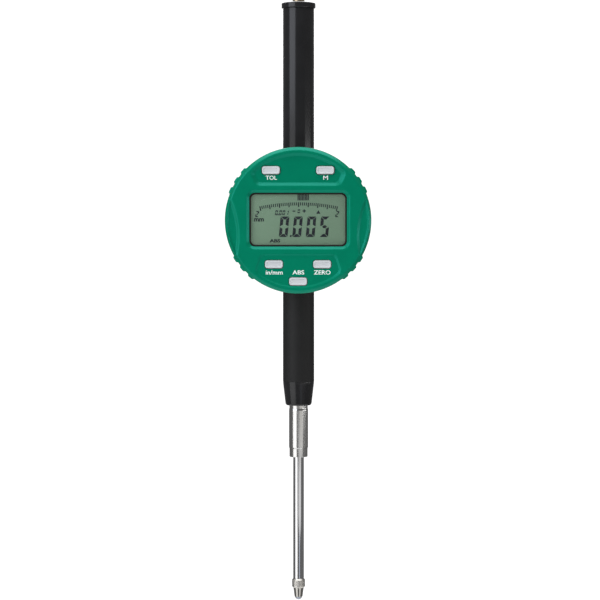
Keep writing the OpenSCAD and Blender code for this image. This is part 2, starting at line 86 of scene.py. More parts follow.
# ---------------------------------------------------------------- places read from the frame
shell_low, shell_high = box_mm("front_housing")
DIAL_Z = (shell_low[2] + shell_high[2]) / 2
RIM_R = (shell_high[2] - shell_low[2]) / 2
FACE_Y = shell_low[1]
SHELL_BACK_Y = shell_high[1]
LCD_Y = box_mm("lcd_panel")[0][1]
INNER_Y = LCD_Y - 0.1
window_low, window_high = box_mm("window_gasket")
WINDOW_W = window_high[0] - window_low[0]
WINDOW_H = window_high[2] - window_low[2]
WINDOW_V = (window_high[2] + window_low[2]) / 2 - DIAL_Z
WINDOW_CORNER = 2.2
GASKET_W = 0.6
KEYS = ("button_tol", "button_m", "button_unit", "button_abs", "button_zero")
KEY_FLANGE = 0.6                 # how far a key's flange reaches past its cap
KEY_GAP = 0.24                   # between a key and its opening
KEY_CORNER = 1.0
KEY_FIELD = 0.62                 # from a key's edge to its sunk field
TRAY_GAP = 0.2                   # between the battery tray and its slot


def key_centre(node):
    low, high = box_mm(node)
    return (low[0] + high[0]) / 2, (low[2] + high[2]) / 2 - DIAL_Z


key_low, key_high = box_mm(KEYS[0])
KEY_W = key_high[0] - key_low[0] - 2 * KEY_FLANGE
KEY_H = key_high[2] - key_low[2] - 2 * KEY_FLANGE
KEY_FRONT_Y, KEY_BACK_Y = key_low[1], key_high[1]

KNURL_TOP, KNURL_LENGTH = 5.5, 3.8   # below the contact point's top end

# ---------------------------------------------------------------- face relief, in mm from the dial centre
UPPER_DEPTH = 1.1                # depth of the panel above the window
LOWER_DEPTH = 0.5                # depth of the panel below it
PANEL_R = RIM_R - 2.2            # round edge of both panels
UPPER_EDGE = 13.9                # straight edge of the upper panel
UPPER_HALF = 17.2                # half its length there
UPPER_LEAN = 0.51                # slope of its sides
LOWER_EDGE = -13.6
LOWER_HALF = 15.6
LOWER_LEAN = 0.32
PANEL_EASE = 1.6                 # rounding where a panel's edges meet
BEZEL_W = 1.35                   # sloping surround of the window
BEZEL_DEPTH = 0.95
RIM_W = 1.5                      # bevel round the whole face
RIM_DEPTH = 1.25
SCOOP_R = 37.0                   # inner arc of the finger scoops
SCOOP_X, SCOOP_Z = 60.9, -6.6
SCOOP_EDGE_R = RIM_R - 0.75
SCOOP_DEPTH = 0.85
SHELL_WALL = 1.8
LOBES = (24.6, 33.4, 42.2, 138, 147, 156, 212, 221, 230, 310, 319, 328)
LOBE_FOOT, LOBE_TOP, LOBE_HEIGHT = 1.75, 1.0, 0.68
FINE_STEP, COARSE_STEP = 0.24, 0.72     # spacing of the face's points where it bends and where it is flat
BEND_LIMIT = 0.003                      # second difference of the depth that counts as a bend


# ---------------------------------------------------------------- materials
def nodes_of(material):
    material.use_nodes = True
    tree = material.node_tree
    return tree, tree.nodes["Principled BSDF"]


def add(tree, kind, **values):
    node = tree.nodes.new(kind)
    for name, value in values.items():
        if name in node.inputs:
            node.inputs[name].default_value = value
        else:
            setattr(node, name, value)
    return node


def surface(name, colour, rough, metal=0.0, grain=4000.0, bump=0.05, vary=0.12, mottle=120.0,
            rough_vary=0.08, stretch=(1, 1, 1), specular=0.5, specular_tint=(1, 1, 1), painted_glow=(0, 0, 0)):
    """A moulded, coated or ground surface: fine grain as bump, and slow changes of colour and gloss. Its
    emission colour is painted light, a glow on a surface that is no lamp.
    """
    material = bpy.data.materials.new(name)
    tree, shader = nodes_of(material)
    link = tree.links.new
    place = add(tree, "ShaderNodeTexCoord")
    scaled = add(tree, "ShaderNodeMapping")
    scaled.inputs["Scale"].default_value = stretch
    link(place.outputs["Object"], scaled.inputs["Vector"])
    fine = add(tree, "ShaderNodeTexNoise", Scale=grain, Detail=3.0, Roughness=0.6)
    link(scaled.outputs["Vector"], fine.inputs["Vector"])
    slow = add(tree, "ShaderNodeTexNoise", Scale=mottle, Detail=2.0, Roughness=0.5)
    link(scaled.outputs["Vector"], slow.inputs["Vector"])
    tone = add(tree, "ShaderNodeValToRGB")
    tone.color_ramp.elements[0].position = 0.3
    tone.color_ramp.elements[1].position = 0.7
    for element, gain in zip(tone.color_ramp.elements, (1 - vary, 1 + vary)):
        element.color = [min(1.0, c * gain) for c in colour] + [1.0]
    link(slow.outputs["Fac"], tone.inputs["Fac"])
    link(tone.outputs["Color"], shader.inputs["Base Color"])
    gloss = add(tree, "ShaderNodeMapRange")
    gloss.inputs["To Min"].default_value = max(0.02, rough - rough_vary)
    gloss.inputs["To Max"].default_value = min(1.0, rough + rough_vary)
    link(fine.outputs["Fac"], gloss.inputs["Value"])
    link(gloss.outputs["Result"], shader.inputs["Roughness"])
    relief = add(tree, "ShaderNodeBump", Strength=bump)
    relief.inputs["Distance"].default_value = 0.00005
    link(fine.outputs["Fac"], relief.inputs["Height"])
    link(relief.outputs["Normal"], shader.inputs["Normal"])
    shader.inputs["Metallic"].default_value = metal
    shader.inputs["Specular IOR Level"].default_value = specular
    shader.inputs["Specular Tint"].default_value = (*specular_tint, 1)
    # painted light: the emission colour makes the surface glow though it is no lamp
    shader.inputs["Emission Color"].default_value = (*painted_glow, 1)
    shader.inputs["Emission Strength"].default_value = 1.0
    return material


def window_material():
    """Clear plastic: it lets light straight through and mirrors a little at its surface."""
    material = bpy.data.materials.new("window_clear")
    tree, shader = nodes_of(material)
    link = tree.links.new
    shader.inputs["Base Color"].default_value = (0.9, 0.95, 0.92, 1)
    shader.inputs["Metallic"].default_value = 0.0
    place = add(tree, "ShaderNodeTexCoord")
    smear = add(tree, "ShaderNodeTexNoise", Scale=90.0, Detail=2.0)
    link(place.outputs["Object"], smear.inputs["Vector"])
    gloss = add(tree, "ShaderNodeMapRange")
    gloss.inputs["To Min"].default_value = 0.03
    gloss.inputs["To Max"].default_value = 0.09
    link(smear.outputs["Fac"], gloss.inputs["Value"])
    link(gloss.outputs["Result"], shader.inputs["Roughness"])
    clear = add(tree, "ShaderNodeBsdfTransparent")
    clear.inputs["Color"].default_value = (0.93, 0.96, 0.94, 1)
    edge = add(tree, "ShaderNodeFresnel")
    edge.inputs["IOR"].default_value = 1.3
    mix = add(tree, "ShaderNodeMixShader")
    link(edge.outputs["Fac"], mix.inputs["Fac"])
    link(clear.outputs["BSDF"], mix.inputs[1])
    link(shader.outputs["BSDF"], mix.inputs[2])
    link(mix.outputs["Shader"], tree.nodes["Material Output"].inputs["Surface"])
    return material


def point_material():
    """Polished steel that turns satin on the knurled band of the contact point's collar."""
    material = surface("point_steel", (0.62, 0.60, 0.56), 0.11, metal=1.0, grain=1500, bump=0.01,
                       stretch=(1, 1, 0.1), vary=0.05, rough_vary=0.04)
    tree = material.node_tree
    shader = tree.nodes["Principled BSDF"]
    polish = shader.inputs["Roughness"].links[0].from_socket
    top = box_mm("contact_point")[1][2] - KNURL_TOP
    place = add(tree, "ShaderNodeTexCoord")
    axes = add(tree, "ShaderNodeSeparateXYZ")
    tree.links.new(place.outputs["Object"], axes.inputs["Vector"])
    band = add(tree, "ShaderNodeMath")
    band.operation = "COMPARE"
    band.inputs[1].default_value = (top - KNURL_LENGTH / 2) * MM
    band.inputs[2].default_value = KNURL_LENGTH / 2 * MM
    tree.links.new(axes.outputs["Z"], band.inputs[0])
    blend = add(tree, "ShaderNodeMix")
    blend.data_type = "FLOAT"
    blend.inputs["B"].default_value = 0.38
    tree.links.new(band.outputs["Value"], blend.inputs["Factor"])
    tree.links.new(polish, blend.inputs["A"])
    tree.links.new(blend.outputs["Result"], shader.inputs["Roughness"])
    return material


def board_material():
    """Solder mask over copper tracks."""
    material = surface("circuit_board", (0.01, 0.13, 0.05), 0.35, grain=2500, bump=0.03)
    tree = material.node_tree
    shader = tree.nodes["Principled BSDF"]
    place = tree.nodes.new("ShaderNodeTexCoord")
    tracks = add(tree, "ShaderNodeTexVoronoi", Scale=420.0)
    tracks.distance = "CHEBYCHEV"
    tree.links.new(place.outputs["Object"], tracks.inputs["Vector"])
    tone = tree.nodes.new("ShaderNodeValToRGB")
    tone.color_ramp.interpolation = "CONSTANT"
    tone.color_ramp.elements[0].color = (0.01, 0.13, 0.05, 1)
    tone.color_ramp.elements[1].position = 0.55
    tone.color_ramp.elements[1].color = (0.02, 0.2, 0.08, 1)
    tree.links.new(tracks.outputs["Distance"], tone.inputs["Fac"])
    tree.links.new(tone.outputs["Color"], shader.inputs["Base Color"])
    return material


MATERIALS = {
    "green_plastic": surface("green_plastic", (0.0, 0.178, 0.091), 0.30, grain=2600, bump=0.08, vary=0.04,
                             rough_vary=0.05, specular=0.6, specular_tint=(0.08, 1.0, 0.95)),
    "key_plastic": surface("key_plastic", (0.57, 0.595, 0.615), 0.42, grain=2200, bump=0.3, vary=0.05),
    "gasket_black": surface("gasket_black", (0.012, 0.008, 0.007), 0.5, grain=2500, bump=0.1, specular=0.2),
    # lcd_glass carries painted light: a faint emission that lifts the shade in the recessed window, though an
    # LCD gives no light
    "lcd_glass": surface("lcd_glass", (0.165, 0.235, 0.17), 0.4, grain=900, bump=0.01, vary=0.03, mottle=60,
                         specular=0.1, painted_glow=(0.074, 0.108, 0.080)),
    "white_film": surface("white_film", (0.75, 0.75, 0.73), 0.6, grain=1800, bump=0.05, vary=0.03),
    "black_plastic": surface("black_plastic", (0.016, 0.017, 0.018), 0.42, grain=1500, bump=0.22),
    "black_anodised": surface("black_anodised", (0.0135, 0.0135, 0.0145), 0.18, grain=3000, bump=0.03,
                              vary=0.15, rough_vary=0.04, specular=0.35),
    "satin_steel": surface("satin_steel", (0.64, 0.635, 0.62), 0.19, metal=1.0, grain=1600, bump=0.012,
                           stretch=(1, 1, 0.04), vary=0.03, rough_vary=0.04),
    "polished_steel": surface("polished_steel", (0.72, 0.72, 0.73), 0.08, metal=1.0, grain=900, bump=0.001,
                              stretch=(0.2, 0.2, 1.0), vary=0.02, rough_vary=0.02),
    "point_steel": point_material(),
    "bronze": surface("bronze", (0.50, 0.31, 0.14), 0.38, metal=1.0, grain=3000, bump=0.1),
    "plug_metal": surface("plug_metal", (0.52, 0.42, 0.28), 0.32, metal=1.0, grain=2500, bump=0.08),
    "zinc_screw": surface("zinc_screw", (0.58, 0.58, 0.57), 0.3, metal=1.0, grain=3500, bump=0.1, mottle=700),
    "black_steel": surface("black_steel", (0.03, 0.03, 0.03), 0.35, metal=0.6, grain=3000),
    "spring_steel": surface("spring_steel", (0.45, 0.45, 0.46), 0.28, metal=1.0, grain=3500),
    "black_rubber": surface("black_rubber", (0.02, 0.02, 0.02), 0.7, grain=1600, bump=0.25),
    "cast_aluminium": surface("cast_aluminium", (0.6, 0.61, 0.62), 0.35, metal=1.0, grain=2200, bump=0.12,
                              stretch=(1, 0.05, 1)),
    "circuit_board": board_material(),
    "chip_plastic": surface("chip_plastic", (0.015, 0.015, 0.015), 0.5, grain=2600, bump=0.2),
    "flex_film": surface("flex_film", (0.6, 0.25, 0.03), 0.3, grain=900, vary=0.2, mottle=900),
    "connector_plastic": surface("connector_plastic", (0.7, 0.65, 0.5), 0.5, grain=2000),
    "gold_contact": surface("gold_contact", (0.8, 0.58, 0.25), 0.2, metal=1.0, grain=2500),
    "coin_steel": surface("coin_steel", (0.62, 0.62, 0.61), 0.24, metal=1.0, grain=1500, bump=0.06),
    "scale_glass": surface("scale_glass", (0.7, 0.68, 0.5), 0.15, grain=2500, bump=0.02),
    "clear_window": window_material(),
}
MATTE_BLACK = surface("matte_black", (0.0105, 0.0105, 0.0105), 0.6, grain=2600, bump=0.05, vary=0.1,
                      rough_vary=0.05, specular=0.3)
BALL_STEEL = surface("ball_steel", (0.30, 0.33, 0.38), 0.12, metal=1.0, grain=900, bump=0.002, vary=0.05,
                     rough_vary=0.03)
INK = surface("segment_ink", (0.004, 0.006, 0.02), 0.5, grain=1200, bump=0.02, vary=0.2, specular=0.1)
PRINT = surface("caption_print", (0.92, 0.95, 0.94), 0.5, grain=1800, bump=0.05, vary=0.03)


# ---------------------------------------------------------------- mesh helpers
def piece(name, verts, faces, slot, body, replaces=None, material=None, sharp=32.0):
    """A mesh from millimetre points, closed and turned outwards, riding on a CAD body."""
    mesh = bpy.data.meshes.new(name)
    mesh.from_pydata([Vector(v) * MM for v in verts], [], faces)
    work = bmesh.new()
    work.from_mesh(mesh)
    bmesh.ops.recalc_face_normals(work, faces=work.faces)
    for edge in work.edges:
        edge.smooth = len(edge.link_faces) == 2 and edge.calc_face_angle() < math.radians(sharp)
    for face in work.faces:
        face.smooth = True
    work.to_mesh(mesh)
    work.free()
    mesh.materials.append(material or MATERIALS[slot])
    thing = bpy.data.objects.new(name, mesh)
    bpy.context.scene.collection.objects.link(thing)
    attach(thing, body)
    if replaces:
        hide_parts(replaces)
    return thing


def rounded(corners, closed=True, steps=5):
    """An outline whose corners (x, y, radius) are rounded by arcs."""
    outline = []
    count = len(corners)
    for i, (x, y, radius) in enumerate(corners):
        at = Vector((x, y))
        if radius <= 0 or (not closed and i in (0, count - 1)):
            outline.append(at)
            continue
        before = Vector(corners[i - 1][:2]) - at
        after = Vector(corners[(i + 1) % count][:2]) - at
        half = before.angle(after) / 2
        back = min(radius / math.tan(half), before.length * 0.49, after.length * 0.49)
        start, end = at + before.normalized() * back, at + after.normalized() * back
        for k in range(steps + 1):
            t = k / steps
            outline.append(start * (1 - t) ** 2 + at * 2 * t * (1 - t) + end * t ** 2)
    return outline


def turned(profile, steps=STEPS, closed=True, wobble=None):
    """Points and faces of a profile (radius, height) turned once round the spindle axis."""
    verts, faces, rings = [], [], []
    for radius, height in profile:
        if radius < 1e-6:
            rings.append([len(verts)] * steps)
            verts.append((0.0, 0.0, height))
            continue
        start = len(verts)
        for k in range(steps):
            angle = 2 * math.pi * k / steps
            r = radius + (wobble(angle, radius, height) if wobble else 0.0)
            verts.append((r * math.cos(angle), r * math.sin(angle), height))
        rings.append(list(range(start, start + steps)))
    pairs = list(zip(rings, rings[1:])) + ([(rings[-1], rings[0])] if closed else [])
    for low, high in pairs:
        for k in range(steps):
            n = (k + 1) % steps
            quad = [low[k], low[n], high[n], high[k]]
            quad = [v for i, v in enumerate(quad) if v != quad[i - 1]]
            if len(quad) > 2:
                faces.append(quad)
    return verts, faces


def turned_piece(name, corners, slot, body, replaces, closed=True, material=None):
    """A turned piece from the corners (radius, height, rounding) of its profile."""
    profile = [tuple(p) for p in rounded(corners, closed)]
    verts, faces = turned(profile, closed=closed)
    return piece(name, verts, faces, slot, body, replaces, material)


def round_rect_loop(half_w, half_h, radius, steps=8):
    """A rounded rectangle's points, anticlockwise."""
    loop = []
    for sx, sz, start in ((1, 1, 0), (-1, 1, 90), (-1, -1, 180), (1, -1, 270)):
        for k in range(steps + 1):
            a = math.radians(start + 90 * k / steps)
            loop.append((sx * (half_w - radius) + radius * math.cos(a),
                         sz * (half_h - radius) + radius * math.sin(a)))
    return loop


def stacked(loops, cap_first=True, cap_last=True, ring=False):
    """Faces between loops of equal length that follow each other; ring joins the last to the first."""
    verts = [p for loop in loops for p in loop]
    count = len(loops[0])
    faces = []
    spans = list(range(len(loops) - 1)) + ([-1] if ring else [])
    for i in spans:
        a = (len(loops) - 1 if i < 0 else i) * count
        b = 0 if i < 0 else a + count
        for k in range(count):
            n = (k + 1) % count
            faces.append([a + k, a + n, b + n, b + k])
    if not ring:
        if cap_first:
            faces.append(list(range(count)))
        if cap_last:
            faces.append([len(verts) - count + k for k in range(count)])
    return verts, faces


# ---------------------------------------------------------------- face relief
def smooth_step(t):
    t = np.clip(t, 0.0, 1.0)
    return t * t * (3 - 2 * t)


def soft_max(a, b, k=PANEL_EASE):
    """The larger of two values, eased where they cross."""
    h = np.clip(0.5 + 0.5 * (a - b) / k, 0.0, 1.0)
    return b * (1 - h) + a * h + k * h * (1 - h)


def rect_distance(u, v, half_w, half_h, radius):
    x = np.abs(u) - half_w + radius
    y = np.abs(v) - half_h + radius
    return np.hypot(np.maximum(x, 0), np.maximum(y, 0)) + np.minimum(np.maximum(x, y), 0) - radius


def panel_distance(u, v, edge, half, slope, side):
    """Distance outside a panel: a straight edge, two leaning sides and the round rim."""
    lean = math.hypot(1.0, slope)
    sides = ((np.abs(u) - half) - slope * side * (v - edge)) / lean
    ring = np.hypot(u, v) - PANEL_R
    return soft_max(soft_max(side * (edge - v), sides), ring)


def bevel(distance, width):
    """0 at an edge rising to 1 a width inside it, straight with slightly eased ends."""
    t = np.clip(-distance / width, 0.0, 1.0)
    return 0.75 * t + 0.25 * smooth_step(t)


def face_depth(u, v):
    """How far the face lies behind its foremost plane."""
    r = np.hypot(u, v)
    rim = RIM_DEPTH * np.clip((r - RIM_R + RIM_W) / RIM_W, 0, 1) ** 1.2
    upper = UPPER_DEPTH * bevel(panel_distance(u, v, UPPER_EDGE, UPPER_HALF, UPPER_LEAN, 1), 1.7)
    lower = LOWER_DEPTH * bevel(panel_distance(u, v, LOWER_EDGE, LOWER_HALF, LOWER_LEAN, -1), 1.0)
    bezel = BEZEL_DEPTH * bevel(window_distance(u, v) - BEZEL_W, BEZEL_W)
    inner_arc = np.hypot(np.abs(u) - SCOOP_X, v - SCOOP_Z) - SCOOP_R
    scoop = SCOOP_DEPTH * np.minimum(bevel(inner_arc, 1.3), bevel(r - SCOOP_EDGE_R, 0.95))
    return np.maximum(rim, np.maximum(np.maximum(upper, lower), np.maximum(bezel, scoop)))


def window_distance(u, v):
    return rect_distance(u, v - WINDOW_V, WINDOW_W / 2, WINDOW_H / 2, WINDOW_CORNER)


def hole_distance(u, v):
    """Distance to the nearest hole in the face."""
    d = window_distance(u, v)
    for node in KEYS:
        x, z = key_centre(node)
        d = np.minimum(d, rect_distance(u - x, v - z, KEY_W / 2 + KEY_GAP, KEY_H / 2 + KEY_GAP,
                                        KEY_CORNER + KEY_GAP))
    return d


def edge_round(distance, size):
    return size * (1 - np.sqrt(np.clip(1 - (1 - np.clip(distance / size, 0, 1)) ** 2, 0, 1)))


def surface_y(u, v):
    u, v = np.asarray(u, float), np.asarray(v, float)
    return FACE_Y + face_depth(u, v) + edge_round(hole_distance(u, v), 0.16)


def hex_grid(step, radius):
    rows = int(radius / (step * 0.866)) + 1
    u, v = [], []
    for j in range(-rows, rows + 1):
        shift = step / 2 if j % 2 else 0.0
        n = int(radius / step) + 1
        u.extend(i * step + shift for i in range(-n, n + 1))
        v.extend([j * step * 0.866] * (2 * n + 1))
    u, v = np.array(u), np.array(v)
    keep = np.hypot(u, v) < radius
    return u[keep], v[keep]


def bend_at(u, v):
    """How much the face bends over one fine step, in u and in v together."""
    h, here = FINE_STEP, face_depth(u, v)
    return (np.abs(face_depth(u + h, v) + face_depth(u - h, v) - 2 * here)
            + np.abs(face_depth(u, v + h) + face_depth(u, v - h) - 2 * here))


def face_points(top_r, wall_r):
    """Points of the face: sparse where it is flat, close together where it bends."""
    fine_u, fine_v = hex_grid(FINE_STEP, top_r - 0.1)
    keep = bend_at(fine_u, fine_v) > BEND_LIMIT
    coarse_u, coarse_v = hex_grid(COARSE_STEP, top_r - 0.3)
    flat = bend_at(coarse_u, coarse_v) <= BEND_LIMIT
    u = np.concatenate([fine_u[keep], coarse_u[flat]])
    v = np.concatenate([fine_v[keep], coarse_v[flat]])
    ok = (hole_distance(u, v) > 0.26) & (np.abs(np.hypot(u, v) - wall_r) > 0.12)
    return list(zip(u[ok], v[ok]))


def lobe_reach(angle):
    """How far out of the rim the flat-topped grip lobes stand at an angle, from 0 to 1."""
    reach = 0.0
    for lobe in LOBES:
        off = (angle - math.radians(lobe) + math.pi) % (2 * math.pi) - math.pi
        across = abs(RIM_R * math.sin(off)) if abs(off) < 0.3 else LOBE_FOOT
        reach = max(reach, float(smooth_step((LOBE_FOOT - across) / (LOBE_FOOT - LOBE_TOP))))
    return reach


def front_shell():
    """The front housing: relief face with its window and key openings, lobed rim, hollow back."""
    top_r, wall_r, around = RIM_R - 1.0, RIM_R - SHELL_WALL, 720
    circle = [(math.cos(2 * math.pi * k / around), math.sin(2 * math.pi * k / around)) for k in range(around)]
    loops = [[(top_r * c, top_r * s) for c, s in circle], [(wall_r * c, wall_r * s) for c, s in circle]]
    holes = []
    for inset in (0.0, 0.04, 0.1, 0.18):
        loop = round_rect_loop(WINDOW_W / 2 + inset, WINDOW_H / 2 + inset, WINDOW_CORNER + inset, 12)
        loops.append([(a, b + WINDOW_V) for a, b in loop])
        if inset == 0:
            holes.append(len(loops) - 1)
        for node in KEYS:
            x, z = key_centre(node)
            grow = KEY_GAP + inset
            loop = round_rect_loop(KEY_W / 2 + grow, KEY_H / 2 + grow, KEY_CORNER + grow, 6)
            loops.append([(x + a, z + b) for a, b in loop])
            if inset == 0:
                holes.append(len(loops) - 1)
    flat, edges, starts = [], [], []
    for loop in loops:
        start = len(flat)
        starts.append(start)
        flat.extend(loop)
        edges.extend((start + k, start + (k + 1) % len(loop)) for k in range(len(loop)))
    flat.extend(face_points(top_r, wall_r))
    out_verts, _, out_faces, origins, _, _ = delaunay_2d_cdt(
        [Vector((float(a), float(b))) for a, b in flat], edges, [], 0, 1e-6)
    index_of = {}
    for i, sources in enumerate(origins):
        for source in sources:
            index_of[source] = i
    uv = np.array([tuple(p) for p in out_verts])
    tri = np.array([list(f) for f in out_faces])
    mid = uv[tri].mean(axis=1)
    mid_r = np.hypot(mid[:, 0], mid[:, 1])
    solid = hole_distance(mid[:, 0], mid[:, 1]) > 0
    top_y = surface_y(uv[:, 0], uv[:, 1])
    verts = [(u, y, DIAL_Z + v) for (u, v), y in zip(uv, top_y)]
    faces = [list(map(int, t)) for t in tri[solid]]
    offset = len(verts)
    verts += [(u, INNER_Y, DIAL_Z + v) for u, v in uv]
    faces += [[int(i) + offset for i in t[::-1]] for t in tri[solid & (mid_r < wall_r)]]
    for h in holes:
        count = len(loops[h])
        ring = [index_of[starts[h] + k] for k in range(count)]
        for k in range(count):
            a, b = ring[k], ring[(k + 1) % count]
            faces.append([a, b, b + offset, a + offset])
    # rim, from the face's round edge over the side to the back and inside again
    top_ring = [index_of[starts[0] + k] for k in range(around)]
    inner_ring = [index_of[starts[1] + k] + offset for k in range(around)]
    depth = SHELL_BACK_Y - FACE_Y
    tall = LOBE_HEIGHT
    # each row: reach past the rim, depth behind the face (None follows the face), lobe height
    rows = [(-0.75, None, 0), (-0.5, None, 0), (-0.3, None, 0), (-0.14, None, 0),
            (-0.04, RIM_DEPTH + 0.05, 0),
            (0, RIM_DEPTH + 0.18, 0), (0, RIM_DEPTH + 0.22, 0.3 * tall), (0, RIM_DEPTH + 0.27, 0.6 * tall),
            (0, RIM_DEPTH + 0.38, 0.85 * tall), (0, RIM_DEPTH + 0.6, 0.97 * tall), (0, RIM_DEPTH + 0.9, tall),
            (0, depth / 2, tall), (0, depth - 0.75, tall), (0, depth - 0.45, 0.85 * tall),
            (0, depth - 0.3, 0.5 * tall), (0, depth - 0.2, 0), (-0.1, depth - 0.05, 0), (-0.25, depth, 0),
            (-SHELL_WALL + 0.2, depth, 0), (-SHELL_WALL, depth - 0.2, 0)]
    reach = [lobe_reach(2 * math.pi * k / around) for k in range(around)]
    previous = top_ring
    for extra, back, lobe in rows:
        start = len(verts)
        for k, (c, s) in enumerate(circle):
            r = RIM_R + extra + lobe * reach[k]
            y = FACE_Y + (float(face_depth(r * c, r * s)) if back is None else back)
            verts.append((r * c, y, DIAL_Z + r * s))
        ring = list(range(start, start + around))
        for k in range(around):
            n = (k + 1) % around
            faces.append([previous[k], previous[n], ring[n], ring[k]])
        previous = ring
    for k in range(around):
        n = (k + 1) % around
        faces.append([previous[k], previous[n], inner_ring[n], inner_ring[k]])
    used = sorted({i for f in faces for i in f})
    renumber = {old: new for new, old in enumerate(used)}
    shell = piece("front_shell", [verts[i] for i in used], [[renumber[i] for i in f] for f in faces],
                  "green_plastic", "display", "front_housing", sharp=40)
    cut_tray_slot(shell)
    return shell


def cut_tray_slot(shell):
    """Opens the battery tray's slot through the rim."""
    low, high = box_mm("battery_tray")
    gap = TRAY_GAP
    cutter = bpy.data.objects.new("slot_cutter", bpy.data.meshes.new("slot_cutter"))
    work = bmesh.new()
    bmesh.ops.create_cube(work, size=1.0)
    size = Vector((12, SHELL_BACK_Y + 1 - (low[1] - gap), high[2] - low[2] + 2 * gap))
    middle = Vector((high[0] - 2, (SHELL_BACK_Y + 1 + low[1] - gap) / 2, DIAL_Z))
    bmesh.ops.transform(work, matrix=Matrix.Translation(middle * MM) @ Matrix.Diagonal((*(size * MM), 1)),
                        verts=work.verts)
    work.to_mesh(cutter.data)
    work.free()
    bpy.context.scene.collection.objects.link(cutter)
    cut = shell.modifiers.new("slot", "BOOLEAN")
    cut.operation = "DIFFERENCE"
    cut.solver = "EXACT"
    cut.object = cutter
    bpy.context.view_layer.update()
    result = bpy.data.meshes.new_from_object(shell.evaluated_get(bpy.context.evaluated_depsgraph_get()))
    shell.modifiers.remove(cut)
    shell.data = result
    bpy.data.objects.remove(cutter)


# ---------------------------------------------------------------- keys, window and display
def key_piece(node):
    """A key: a cap with rounded edges and a shallow sunk field, on a flange behind the face."""
    x, z = key_centre(node)
    w, h = KEY_W / 2, KEY_H / 2
    field = KEY_FIELD
    rows = [(KEY_FLANGE, KEY_BACK_Y), (KEY_FLANGE, INNER_Y + 0.1), (0.0, INNER_Y + 0.1),
            (0.0, KEY_FRONT_Y + 0.36),
            (-0.03, KEY_FRONT_Y + 0.2), (-0.11, KEY_FRONT_Y + 0.08), (-0.22, KEY_FRONT_Y + 0.015),
            (-0.34, KEY_FRONT_Y), (-field + 0.06, KEY_FRONT_Y + 0.01), (-field - 0.06, KEY_FRONT_Y + 0.2),
            (-field - 0.3, KEY_FRONT_Y + 0.24), (-field - 0.7, KEY_FRONT_Y + 0.25)]
    loops = []
    for grow, y in rows:
        radius = max(0.15, KEY_CORNER + min(grow, 0.0) * 0.8)
        loop = round_rect_loop(w + grow, h + grow, radius, 8)
        loops.append([(x + a, y, DIAL_Z + z + b) for a, b in loop])
    verts, faces = stacked(loops)
    return piece(node + "_cap", verts, faces, "key_plastic", "key_" + node.split("_")[1], node, sharp=50)


def window_pieces():
    """The dark frame in the window opening and the clear pane set in it."""
    w, h, r = WINDOW_W / 2 - 0.02, WINDOW_H / 2 - 0.02, WINDOW_CORNER
    front, back = FACE_Y + BEZEL_DEPTH + 0.05, window_high[1]
    outline = [(0.0, back), (0.0, front + 0.1), (-0.06, front + 0.02), (-0.14, front),
               (-GASKET_W + 0.15, front + 0.06), (-GASKET_W, front + 0.16), (-GASKET_W, back)]
    loops = []
    for grow, y in outline:
        loop = round_rect_loop(w + grow, h + grow, r + grow * 0.5, 12)
        loops.append([(a, y, DIAL_Z + WINDOW_V + b) for a, b in loop])
    verts, faces = stacked(loops, ring=True)
    piece("window_frame", verts, faces, "gasket_black", "display", "window_gasket", sharp=50)
    pane_back = box_mm("lens")[1][1]
    pane_front = front + 0.12
    loops = []
    for grow, y in ((0, pane_back), (0, pane_front + 0.08), (-0.08, pane_front)):
        loop = round_rect_loop(w - GASKET_W + grow, h - GASKET_W + grow, r - 0.3, 12)
        loops.append([(a, y, DIAL_Z + WINDOW_V + b) for a, b in loop])
    verts, faces = stacked(loops)
    piece("window_pane", verts, faces, "clear_window", "display", "lens", sharp=50)


INK_T = 0.04                      # thickness of a printed or switched segment
SLANT = 0.094                     # lean of the main digits


def prism(outline, y, lift=INK_T):
    """A thin closed plate of an outline (u, v) whose back lies at y."""
    verts = [(u, y - lift, DIAL_Z + v) for u, v in outline] + [(u, y, DIAL_Z + v) for u, v in outline]
    n = len(outline)
    faces = [list(range(n)), [n + k for k in reversed(range(n))]]
    faces += [[k, (k + 1) % n, n + (k + 1) % n, n + k] for k in range(n)]
    return verts, faces


def joined(name, parts, slot, body, material):
    verts, faces = [], []
    for part_verts, part_faces in parts:
        start = len(verts)
        verts += part_verts
        faces += [[start + i for i in f] for f in part_faces]
    return piece(name, verts, faces, slot, body, material=material)


SEGMENTS = {"0": "abcdef", "1": "bc", "2": "abged", "5": "afgcd"}


def digit(char, u, v, width, height, thick, slant):
    """The lit bars of a seven-segment digit whose lower left corner is at (u, v)."""
    gap = thick * 0.14
    half = height / 2

    def bar_across(at_v, shape):
        left, right = gap, width - gap
        if shape == "top":
            pts = [(left, at_v), (right, at_v), (right - thick, at_v - thick), (left + thick, at_v - thick)]
        elif shape == "bottom":
            pts = [(left, at_v), (left + thick, at_v + thick), (right - thick, at_v + thick), (right, at_v)]
        else:
            t = thick / 2
            pts = [(left + t, at_v), (left + thick, at_v + t), (right - thick, at_v + t), (right - t, at_v),
                   (right - thick, at_v - t), (left + thick, at_v - t)]
        return pts

    def bar_up(side, low, high, outer_low, outer_high):
        inner = thick if side == 0 else width - thick
        outer = 0 if side == 0 else width
        inner_low = low + thick * (1 if outer_low else 0.5)
        inner_high = high - thick * (1 if outer_high else 0.5)
        return [(outer, low + outer_low), (outer, high - outer_high), (inner, inner_high), (inner, inner_low)]

    shapes = {
        "a": bar_across(height, "top"), "d": bar_across(0, "bottom"), "g": bar_across(half, "middle"),
        "f": bar_up(0, half + gap, height, 0, gap), "b": bar_up(1, half + gap, height, 0, gap),
        "e": bar_up(0, 0, half - gap, gap, 0), "c": bar_up(1, 0, half - gap, gap, 0)}
    parts = []
    for name in SEGMENTS[char]:
        parts.append([(u + x + slant * y, v + y) for x, y in shapes[name]])
    return parts


